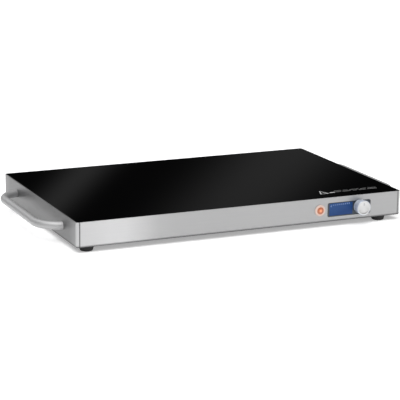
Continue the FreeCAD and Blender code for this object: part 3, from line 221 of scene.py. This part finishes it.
def moulded(name, base, roughness, grain=1400, strength=0.2, spread=0.1):
    """Moulded plastic or rubber with a fine skin texture."""
    shader = Shader(name, base, roughness)
    shader.vary(base, spread, shader.noise(60, 4))
    skin = shader.noise(grain, 4)
    shader.link(shader.rescale(skin, roughness - 0.08, min(1.0, roughness + 0.1)), "Roughness")
    shader.bump(skin, strength, 0.00005)
    return shader.material


def black_glass():
    """Polished black glass with faint wipe marks in its gloss."""
    shader = Shader("black_glass", GLASS_BLACK, 0.02)
    shader.set("IOR", 1.5)
    wipe = shader.noise(5, 5, (1, 3, 1))
    shader.link(shader.rescale(wipe, 0.012, 0.035), "Roughness")
    dust = [(0.66, GLASS_BLACK), (0.8, (0.0016, 0.0016, 0.0018))]
    shader.link(shader.ramp(shader.noise(420, 8), dust), "Base Color")
    return shader.material


def film_plastic():
    """Deep blue printed film, lighter towards its top left."""
    shader = Shader("film_blue", (0.025, 0.06, 0.2), 0.35)
    x, _, z = shader.split()
    across = shader.math("DIVIDE", shader.math("SUBTRACT", x, film_low.x), film_high.x - film_low.x)
    up = shader.math("DIVIDE", shader.math("SUBTRACT", z, film_low.z), film_high.z - film_low.z)
    lift = shader.math("ADD", shader.math("MULTIPLY", up, 0.6), shader.math("MULTIPLY", across, -0.35))
    tone = shader.math("ADD", lift, shader.math("MULTIPLY", shader.noise(90, 3), 0.25))
    shader.link(shader.ramp(tone, [(0.05, (0.008, 0.042, 0.16)), (0.75, (0.02, 0.07, 0.21))]), "Base Color")
    shader.set("Specular IOR Level", 0.25)
    shader.bump(shader.noise(1200, 3), 0.06, 0.00003)
    return shader.material


def turned_metal():
    """Turned aluminium: fine rings about the knob's own axis, which is its y, with a skirt painted in
    blue-greys, a painted reflection of the blue film, and painted flute shading.
    """
    bright = (0.6, 0.6, 0.6)
    shader = Shader("turned_metal", bright, 0.36, 1.0)
    x, y, z = shader.split()
    radius = shader.math("SQRT", shader.math("ADD", shader.math("POWER", x, 2), shader.math("POWER", z, 2)))
    rings = shader.math("SINE", shader.math("MULTIPLY", radius, 2 * math.pi / KNOB_RING_PITCH))
    uneven = shader.noise(500, 4)
    height = shader.math("ADD", shader.math("MULTIPLY", rings, 0.5), uneven)
    slope = KNOB_FLARE / (knob_high.y - knob_low.y)
    behind_face = shader.math("MULTIPLY", shader.math("ADD", y, FRONT_Y - knob_low.y), slope)
    out = shader.math("DIVIDE", shader.math("ADD", radius, behind_face), KNOB_RADIUS)
    tone = shader.math("ADD", out, shader.math("MULTIPLY", uneven, 0.02))
    # Painted flute shading: the tone steps lighter and darker around the skirt; no flutes are modelled.
    around = shader.math("MULTIPLY", shader.math("ARCTAN2", x, z), PAINTED_FLUTE_COUNT)
    painted_flute_shade = shader.rescale(shader.math("SINE", around), 0.0, 0.03)
    # The skirt's blue-grey bands are painted reflection of the blue film and painted shade at the rim; the
    # skirt is also made less metallic.
    shader.link(shader.ramp(shader.math("ADD", tone, painted_flute_shade), [
        (0.93, bright), (0.965, (0.5, 0.53, 0.6)), (0.985, (0.62, 0.68, 0.78)), (1.0, (0.62, 0.68, 0.78)),
        (1.02, (0.45, 0.49, 0.57)),
    ]), "Base Color")
    shader.link(shader.ramp(out, [(0.93, (1, 1, 1)), (0.97, (0.35, 0.35, 0.35))]), "Metallic")
    shader.link(shader.rescale(uneven, 0.32, 0.44), "Roughness")
    shader.bump(height, 0.12, 0.00003)
    shader.set("Anisotropic", 0.7)
    tangent = shader.nodes.new("ShaderNodeTangent")
    tangent.direction_type = "RADIAL"
    tangent.axis = "Y"
    shader.link(tangent.outputs["Tangent"], "Tangent")
    return shader.material


def lit_lens():
    """Orange lens with the lamp alight behind it: pale in the middle, deeper at the rim."""
    shader = Shader("lens_orange", (0.3, 0.09, 0.04), 0.18)
    x, _, z = shader.split()
    radius = shader.math("SQRT", shader.math("ADD", shader.math("POWER", x, 2), shader.math("POWER", z, 2)))
    out = shader.math("DIVIDE", radius, (lens_high.x - lens_low.x) / 2)
    cells = shader.math("MULTIPLY", shader.noise(700, 3), 0.2)
    tone = shader.math("ADD", out, shader.math("SUBTRACT", cells, 0.1))
    glow = shader.ramp(tone, [
        (0.0, (0.75, 0.34, 0.17)), (0.3, (0.45, 0.16, 0.07)), (0.55, (0.2, 0.05, 0.015)),
        (0.8, (0.05, 0.01, 0.004)), (0.97, (0.4, 0.24, 0.17)),
    ])
    shader.link(glow, "Emission Color")
    shader.set("Emission Strength", 1.0)
    shader.set("Coat Weight", 0.5)
    shader.set("Coat Roughness", 0.08)
    return shader.material


def print_ink(name, base):
    shader = Shader(name, base, 0.5)
    shader.vary(base, 0.12, shader.noise(1500, 3))
    return shader.material


# Painted light on the steel sheets: the front sheet is painted brighter towards its left end, a painted
# reflection, and darker at its two cut ends, painted shade in the seams. The end sheets are painted brighter
# at their bends, a painted highlight, and the foot of every sheet, where it is bent under, is painted
# darker: painted shade along the bottom edge.
PAINTED_FOOT_SHADE = [(0.0, 0.45), (0.03, 0.55), (0.06, 1.0)]
FRONT_STEEL = brushed_steel("steel_along_x", (0.405, 0.405, 0.408), 0.44, "x", 0.2, 0.05)
# Painted reflection: brighter towards the left end. Painted shade: dark at the two cut ends beside the
# seams.
shaded_along(FRONT_STEEL, 0, front_low.x, front_high.x, [
    (0.0, 0.3), (0.0014, 0.5), (0.002, 1.32), (0.04, 1.36), (0.09, 1.45), (0.135, 1.44), (0.185, 1.26),
    (0.235, 1.06), (0.285, 1.0), (0.998, 1.0), (0.9986, 0.5), (1.0, 0.3),
])
shaded_along(FRONT_STEEL, 2, front_low.z, front_high.z, PAINTED_FOOT_SHADE)
# The end sheets are the same steel as the front sheet, with their colour painted darker: painted shade on
# the ends.
SHADED_END_STEEL = brushed_steel("steel_along_y", (0.2, 0.2, 0.202), 0.42, "y", 0.2, 0.05)
# Painted highlight: brighter at the bends near the front and the back.
shaded_along(SHADED_END_STEEL, 1, end_low.y, end_high.y, [
    (0.0, 2.45), (0.006, 2.45), (0.014, 1.45), (0.03, 1.3), (0.09, 1.0),
    (0.91, 1.0), (0.97, 1.3), (0.986, 1.45), (0.994, 2.45),
])
shaded_along(SHADED_END_STEEL, 2, end_low.z, end_high.z, PAINTED_FOOT_SHADE)
BAR_STEEL = brushed_steel("steel_bar", (0.4, 0.4, 0.404), 0.5, "y", 0.1, 0.05)
BAR_STEEL.set("Metallic", 0.6)
PLATED = sheet_metal("zinc_sheet", (0.5, 0.51, 0.53), 0.35)
SCREW = sheet_metal("screw_steel", (0.55, 0.55, 0.57), 0.3)
BRASS = sheet_metal("brass", (0.72, 0.53, 0.24), 0.3)
SPRING = sheet_metal("spring_steel", (0.68, 0.68, 0.68), 0.2)
ELEMENT = sheet_metal("element_foil", (0.42, 0.39, 0.36), 0.42)
RUBBER = moulded("foot_rubber", (0.004, 0.004, 0.0045), 0.72, 1100, 0.3)
SILICONE = moulded("silicone_black", (0.01, 0.01, 0.011), 0.5, 1500, 0.15)
# Near-black sheet for the corner angles, standing in for the shade seen through the seams.
SEAM_SHADE_BLACK = moulded("seam_shade_black", (0.015, 0.015, 0.016), 0.6, 1200, 0.2)
COVER = moulded("cover_paint", (0.05, 0.05, 0.055), 0.45, 2200, 0.35)
PLATE = moulded("plate_plastic", (0.035, 0.045, 0.06), 0.35, 1800, 0.1)
INLET = moulded("inlet_plastic", (0.014, 0.014, 0.015), 0.42, 1600, 0.2)
INSERT = moulded("insert_plastic", (0.03, 0.03, 0.03), 0.5)
POINTER = moulded("pointer_fill", (0.25, 0.25, 0.26), 0.5)
BEZEL = moulded("bezel_plastic", (0.62, 0.47, 0.41), 0.25, 2600, 0.05, 0.05)
CERAMIC = moulded("ceramic_white", (0.75, 0.73, 0.68), 0.6, 900, 0.25, 0.05)
MICA = moulded("mica_sheet", (0.45, 0.37, 0.24), 0.3, 300, 0.2, 0.25)
WOOL = moulded("wool_felt", (0.78, 0.77, 0.72), 0.95, 500, 0.8, 0.1)
BULB = moulded("lamp_glass", (0.7, 0.5, 0.35), 0.15, 2600, 0.02, 0.05)
WIRES = {
    "live_wires": moulded("wire_red", (0.35, 0.05, 0.03), 0.5, 900, 0.15),
    "neutral_wire": moulded("wire_blue", (0.03, 0.09, 0.35), 0.5, 900, 0.15),
    "earth_wire": moulded("wire_green", (0.1, 0.32, 0.06), 0.5, 900, 0.15),
    "lamp_leads": moulded("wire_white", (0.75, 0.75, 0.72), 0.5, 900, 0.15),
}
SLOT_MATERIALS = {
    "ceramic_glass": black_glass(), "silicone_black": SILICONE, "panel_steel": FRONT_STEEL.material,
    "handle_steel": BAR_STEEL.material, "zinc_steel": PLATED, "cover_steel": COVER, "foot_rubber": RUBBER,
    "screw_steel": SCREW, "plate_plastic": PLATE, "film_blue": film_plastic(),
    "knob_metal": PLATED, "pointer_black": POINTER, "insert_plastic": INSERT,
    "spring_steel": SPRING, "brass": BRASS, "ceramic_white": CERAMIC, "bezel_plastic": BEZEL,
    "lens_orange": BEZEL, "lamp_glass": BULB, "mica": MICA, "element_alloy": ELEMENT,
    "wool": WOOL, "inlet_plastic": INLET,
}


def dress_nodes():
    """Give every carried-over CAD node its material."""
    slots = {entry["node"]: entry["material_slot"] for entry in frame["record"]["subparts"]}
    for name, node in frame["nodes"].items():
        material = WIRES.get(name) or SLOT_MATERIALS[slots[name]]
        if name in ("left_end_panel", "right_end_panel"):
            material = SHADED_END_STEEL.material
        # The corner angles behind the seams are near-black: painted shade in the seams.
        if name.startswith("corner_angle"):
            material = SEAM_SHADE_BLACK
        node.data.materials.clear()
        node.data.materials.append(material)


# ---------------------------------------------------------------- meshes

def finish_piece(name, mesh, material, body, smooth=30):
    piece = bpy.data.objects.new(name, mesh)
    scene.collection.objects.link(piece)
    piece.data.materials.append(material)
    mesh.shade_smooth()
    mesh.set_sharp_from_angle(angle=math.radians(smooth))
    return piece


def lathe(name, profile, axis, material, body, steps=128):
    """Turn a profile of (radius, forward) pairs about a line that runs to the front, -y."""
    shape = bmesh.new()
    rings = []
    for radius, forward in profile:
        if radius < 1e-7:
            rings.append([shape.verts.new((0, -forward, 0))])
            continue
        ring = []
        for step in range(steps):
            angle = 2 * math.pi * step / steps
            ring.append(shape.verts.new((radius * math.cos(angle), -forward, radius * math.sin(angle))))
        rings.append(ring)
    for first, second in zip(rings, rings[1:]):
        for step in range(steps):
            after = (step + 1) % steps
            if len(first) == 1:
                shape.faces.new((first[0], second[after], second[step]))
            elif len(second) == 1:
                shape.faces.new((first[step], first[after], second[0]))
            else:
                shape.faces.new((first[step], first[after], second[after], second[step]))
    bmesh.ops.recalc_face_normals(shape, faces=shape.faces)
    mesh = bpy.data.meshes.new(name)
    shape.to_mesh(mesh)
    shape.free()
    piece = finish_piece(name, mesh, material, body)
    piece.location = axis
    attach(piece, body)
    return piece


def arc(mid_radius, mid_forward, radius, start, end, count=6):
    """Profile points on a round edge, angles in degrees from straight out."""
    points = []
    for step in range(count + 1):
        angle = math.radians(start + (end - start) * step / count)
        points.append((mid_radius + radius * math.cos(angle), mid_forward + radius * math.sin(angle)))
    return points


def marks(name, shapes, place, material, thickness):
    """Thin printed shapes; place turns a flat (u, v, depth) into a point."""
    shape = bmesh.new()
    for outline in shapes:
        low = [shape.verts.new(place(u, v, 0)) for u, v in outline]
        high = [shape.verts.new(place(u, v, thickness)) for u, v in outline]
        shape.faces.new(low)
        shape.faces.new(high)
        for index in range(len(outline)):
            after = (index + 1) % len(outline)
            shape.faces.new((low[index], low[after], high[after], high[index]))
    bmesh.ops.recalc_face_normals(shape, faces=shape.faces)
    mesh = bpy.data.meshes.new(name)
    shape.to_mesh(mesh)
    shape.free()
    piece = finish_piece(name, mesh, material, "tray")
    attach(piece, "tray")
    return piece


def rectangle(u, v, width, height):
    return [(u, v), (u + width, v), (u + width, v + height), (u, v + height)]


def cross_screws(name, places, outward, radius, height, shank, length, slot_reach):
    """Screws with a cross recess; each place is the middle of the head's outer face."""
    turn = Vector((0, 0, 1)).rotation_difference(Vector(outward)).to_matrix().to_4x4()
    half = slot_reach * CROSS_WIDTH
    cross = []
    for quarter in range(4):
        spin = Matrix.Rotation(quarter * math.pi / 2, 3, "Z")
        for corner in ((half, -half), (slot_reach, -half), (slot_reach, half)):
            cross.append(spin @ Vector((*corner, 0)))
    angles = [2 * math.pi * step / CIRCLE_STEPS for step in range(CIRCLE_STEPS)]
    circle = [Vector((math.cos(angle), math.sin(angle), 0)) for angle in angles]
    shape = bmesh.new()
    for place in places:
        move = Matrix.Translation(place) @ turn

        def loop(points, scale, depth):
            return [shape.verts.new(move @ (point * scale - Vector((0, 0, depth)))) for point in points]

        def walls(first, second):
            for index in range(len(first)):
                after = (index + 1) % len(first)
                shape.faces.new((first[index], first[after], second[after], second[index]))

        rim = loop(circle, radius - 0.08 * height, 0)
        recess = loop(cross, 1, 0)
        edges = []
        for ring in (rim, recess):
            for index in range(len(ring)):
                edges.append(shape.edges.new((ring[index], ring[(index + 1) % len(ring)])))
        bmesh.ops.triangle_fill(shape, use_beauty=True, use_dissolve=False, edges=edges)
        low_recess = loop(cross, 0.75, 0.6 * height)
        walls(recess, low_recess)
        shape.faces.new(low_recess)
        shoulder = loop(circle, radius, 0.12 * height)
        under = loop(circle, radius, height)
        walls(rim, shoulder)
        walls(shoulder, under)
        neck = loop(circle, shank, height)
        walls(under, neck)
        end = loop(circle, shank, height + length)
        walls(neck, end)
        shape.faces.new(end)
    bmesh.ops.recalc_face_normals(shape, faces=shape.faces)
    mesh = bpy.data.meshes.new(name)
    shape.to_mesh(mesh)
    shape.free()
    piece = finish_piece(name, mesh, SCREW, "tray")
    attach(piece, "tray")
    return piece


def build_screws():
    """Cross-recessed screws up through the feet."""
    screws_low, screws_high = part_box("foot_screws")
    wells = []
    for depth in ("front", "back"):
        for end in ("left", "right"):
            low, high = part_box(f"foot_{depth}_{end}")
            middle = (low + high) / 2
            wells.append(Vector((middle.x, middle.y, screws_low.z)))
    head = wells[0].x - screws_low.x
    length = screws_high.z - screws_low.z - FOOT_HEAD
    reach = head * CROSS_REACH
    screws = cross_screws("foot_screw_set", wells, (0, 0, -1), head, FOOT_HEAD, head / 2, length, reach)
    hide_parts("foot_screws")


def build_knob():
    """Turned knob, wider at its face, with a rounded rim and a shallow dish."""
    out = KNOB_RADIUS
    face = FRONT_Y - knob_low.y
    back = FRONT_Y - knob_high.y
    insert_low, insert_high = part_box("knob_insert")
    rim = KNOB_ROUND
    dish = out - DISH_INSET

    def skirt(forward, inset=0.0):
        return (out - KNOB_FLARE * (face - forward) / (face - back) - inset, forward)

    bore, bore_end = (insert_high.x - insert_low.x) / 2, FRONT_Y - insert_low.y
    well, well_end = NUT_WELL / 2, back + NUT_WELL_DEPTH
    profile = [(0, bore_end), (bore, bore_end), (bore, well_end), (well, well_end), (well, back)]
    profile += [skirt(back, 0.3 * MM), skirt(back + 0.3 * MM)]
    for groove in range(2):
        start = back + GROOVE_START + GROOVE_PITCH * groove
        profile += [skirt(start), skirt(start + GROOVE_DEPTH, GROOVE_DEPTH), skirt(start + 2 * GROOVE_DEPTH)]
    profile += arc(out - rim, face - rim, rim, 0, 90)
    profile += [(dish, face), (dish - 0.5 * MM, face - 0.12 * MM), (dish - 1.2 * MM, face - 0.42 * MM)]
    profile += [(dish - 1.8 * MM, face - 0.54 * MM), (3.0 * MM, face - 0.56 * MM), (0, face - 0.56 * MM)]
    knob = lathe("turned_knob", profile, KNOB_AXIS, turned_metal(), "knob", 160)
    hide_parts("control_knob")


def build_lens():
    """Domed lens with a flat rim."""
    out = (lens_high.x - lens_low.x) / 2
    proud = FRONT_Y - lens_low.y
    base = FRONT_Y - bezel_low.y
    sphere = (out ** 2 + (proud - base) ** 2) / (2 * (proud - base))
    back = FRONT_Y - lens_high.y
    profile = [(0, back), (out, back), (out, base - 0.2 * MM)]
    for step in range(10):
        radius = out * (1 - (step + 1) / 10)
        profile.append((radius, proud - sphere + math.sqrt(sphere ** 2 - radius ** 2)))
    lens = lathe("lamp_lens", profile, LAMP_AXIS, lit_lens(), "tray", 96)
    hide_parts("indicator_lens")


def build_film_marks():
    """A rising wedge and a row of ticks along the top of the film, with no lettering."""
    front = film_low.y
    top = film_high.z - 2.2 * MM

    def on_film(u, v, depth):
        return (film_low.x + u, front - depth, top + v)

    shapes = [[(1.6 * MM, -3.2 * MM), (3.4 * MM, -3.2 * MM), (3.4 * MM, 0.4 * MM)]]
    for step in range(9):
        high = (1.0 + 0.22 * step) * MM
        shapes.append(rectangle((6.0 + 3.6 * step) * MM, -1.2 * MM, 1.6 * MM, high))
    ink = print_ink("mark_ink", (0.16, 0.24, 0.46))
    marks("film_marks", shapes, on_film, ink, FILM_MARK_THICK)


def build_glass_print():
    """Plain triangle outline and dashes on the glass at the front right."""
    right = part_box("right_end_panel")[1].x
    front = FRONT_Y
    top = glass_high.z

    def on_glass(u, v, depth):
        return (right + u, front + v, top + depth)

    low, high, mid = 26 * MM, 46 * MM, -126 * MM
    half, band = 8 * MM, 1.5 * MM
    outer = [(mid - half, low), (mid + half, low), (mid, high)]
    inner_half, inner_high = half - 2 * band, high - 2.3 * band
    inner = [(mid - inner_half, low + band), (mid + inner_half, low + band), (mid, inner_high)]
    icon = [rectangle(mid + half + 3 * MM, low + 2 * MM, 9 * MM, 4 * MM)]
    for index in range(3):
        after = (index + 1) % 3
        icon.append([outer[index], outer[after], inner[after], inner[index]])
    icon_ink = print_ink("icon_ink", (0.5, 0.5, 0.5))
    marks("glass_icon", icon, on_glass, icon_ink, PRINT_THICK)
    dashes = []
    for row, lengths in enumerate(((14, 9, 17, 11, 15), (10, 16, 8, 13, 18))):
        place = -104 * MM
        for length in lengths:
            dashes.append(rectangle(place, (36 - 6 * row) * MM, length * MM, 2.4 * MM))
            place += (length + 3) * MM
    dash_ink = print_ink("dash_ink", (0.13, 0.13, 0.13))
    marks("glass_dashes", dashes, on_glass, dash_ink, PRINT_THICK)


# ---------------------------------------------------------------- stage

FLOOR_REACH = 12
FLOOR_DROP = 0.1 * MM


def build_floor():
    """White floor just under the feet, lit a little from within so that it stays white."""
    shape = bmesh.new()
    bmesh.ops.create_grid(shape, x_segments=2, y_segments=2, size=FLOOR_REACH)
    mesh = bpy.data.meshes.new("floor")
    shape.to_mesh(mesh)
    shape.free()
    floor = bpy.data.objects.new("floor", mesh)
    scene.collection.objects.link(floor)
    floor.location.z = -FLOOR_DROP
    shader = Shader("floor_white", (0.86, 0.86, 0.86), 0.9)
    shader.set("Specular IOR Level", 0.0)
    shader.set("Emission Color", (1, 1, 1, 1))
    shader.set("Emission Strength", 0.35)
    mesh.materials.append(shader.material)


# Slanting panels of the surroundings: azimuth plus climb, half width, level, edge sharpness.
# Azimuth runs from the back towards the right.
SLANTED_PANELS = [(33.25, 0.8, 0.063, 2.0), (39.7, 2.1, 0.06, 2.3)]
# Wide panels: the degrees where each starts and where it is full, and its level.
OVERHEAD_PANEL = (30, 52, 0.5)
FRONT_PANEL = (70, 105, 0.45)
# The back panel fades with the angle from its middle and with the climb.
BACK_PANEL_AZIMUTH = -18
BACK_PANEL = (35, 14, 1.1)
BACK_PANEL_CLIMB = (8, 22, 1)
BASE_LIGHT = 0.0055


def build_world():
    """Near-black surroundings with panels of light: two slanting, one each behind, above and in front."""
    world = bpy.data.worlds.new("studio")
    scene.world = world
    world.use_nodes = True
    nodes, links = world.node_tree.nodes, world.node_tree.links

    def math_node(operation, first, second=None):
        node = nodes.new("ShaderNodeMath")
        node.operation = operation
        for index, value in enumerate((first, second)):
            if value is None:
                continue
            if isinstance(value, (int, float)):
                node.inputs[index].default_value = value
            else:
                links.new(value, node.inputs[index])
        return node.outputs["Value"]

    split = nodes.new("ShaderNodeSeparateXYZ")
    links.new(nodes.new("ShaderNodeTexCoord").outputs["Generated"], split.inputs["Vector"])
    azimuth = math_node("ARCTAN2", split.outputs["X"], split.outputs["Y"])
    climb = math_node("ARCSINE", split.outputs["Z"])
    slanted = math_node("ADD", azimuth, climb)
    total = BASE_LIGHT
    for place, width, level, sharp in SLANTED_PANELS:
        offset = math_node("SUBTRACT", slanted, place * DEGREE)
        away = math_node("ABSOLUTE", math_node("DIVIDE", offset, width * DEGREE))
        panel = math_node("EXPONENT", math_node("MULTIPLY", math_node("POWER", away, sharp), -1.0))
        total = math_node("ADD", math_node("MULTIPLY", panel, level), total)

    def fade(source, low, high, level):
        rise = nodes.new("ShaderNodeMapRange")
        rise.interpolation_type = "SMOOTHSTEP"
        rise.inputs["From Min"].default_value = low * DEGREE
        rise.inputs["From Max"].default_value = high * DEGREE
        rise.inputs["To Max"].default_value = level
        links.new(source, rise.inputs["Value"])
        return rise.outputs["Result"]

    from_middle = math_node("ABSOLUTE", math_node("SUBTRACT", azimuth, BACK_PANEL_AZIMUTH * DEGREE))
    back_panel = math_node("MULTIPLY", fade(from_middle, *BACK_PANEL), fade(climb, *BACK_PANEL_CLIMB))
    overhead = fade(climb, *OVERHEAD_PANEL)
    in_front = fade(math_node("ABSOLUTE", azimuth), *FRONT_PANEL)
    for panel in (back_panel, overhead, in_front):
        total = math_node("ADD", panel, total)
    background = nodes["Background"]
    links.new(total, background.inputs["Strength"])
    background.inputs["Color"].default_value = (1, 1, 1, 1)


def area_light(name, place, target, size, power):
    data = bpy.data.lights.new(name, "AREA")
    data.shape = "RECTANGLE"
    data.size, data.size_y = size
    data.energy = power
    light = bpy.data.objects.new(name, data)
    scene.collection.objects.link(light)
    light.location = place
    light.rotation_euler = (Vector(target) - Vector(place)).to_track_quat("-Z", "Y").to_euler()


def build_lights():
    sun_data = bpy.data.lights.new("soft_sun", "SUN")
    sun_data.energy = 1.6
    sun_data.angle = 70 * DEGREE
    sun = bpy.data.objects.new("soft_sun", sun_data)
    scene.collection.objects.link(sun)
    sun.rotation_euler = (12 * DEGREE, -8 * DEGREE, 0)
    area_light("key", (-0.9, -1.2, 1.6), (0, 0, 0), (1.2, 0.8), 5)


# The camera's azimuth, height and roll in degrees, then its place in body lengths from the middle
# of the glass: back along the view, across and raised.
CAMERA_ANGLES = (-24.305, 13.983, 0.670)
CAMERA_OFFSET = (4.9242, 0.0009, -0.0533)
BODY_LENGTH = 560 * MM
CAMERA_LENS = 150.3
SENSOR_WIDTH = 36


def build_camera():
    """Long lens at the front left, looking a little down."""
    azimuth, height, roll = (angle * DEGREE for angle in CAMERA_ANGLES)
    back = Vector((
        math.sin(azimuth) * math.cos(height), -math.cos(azimuth) * math.cos(height), math.sin(height),
    ))
    side = (-back).cross(Vector((0, 0, 1))).normalized()
    up = side.cross(-back)
    right = math.cos(roll) * side + math.sin(roll) * up
    above = -math.sin(roll) * side + math.cos(roll) * up
    top_centre = Vector((0, (glass_low.y + glass_high.y) / 2, front_high.z))
    away, across, raised = CAMERA_OFFSET
    place = top_centre + BODY_LENGTH * (back * away + right * across + above * raised)
    data = bpy.data.cameras.new("camera")
    data.lens = CAMERA_LENS
    data.sensor_width = SENSOR_WIDTH
    camera = bpy.data.objects.new("camera", data)
    scene.collection.objects.link(camera)
    camera.matrix_world = Matrix.Translation(place) @ Matrix((right, above, back)).transposed().to_4x4()
    scene.camera = camera


dress_nodes()
build_knob()
build_screws()
build_lens()
build_film_marks()
build_glass_print()
build_floor()
build_world()
build_lights()
build_camera()
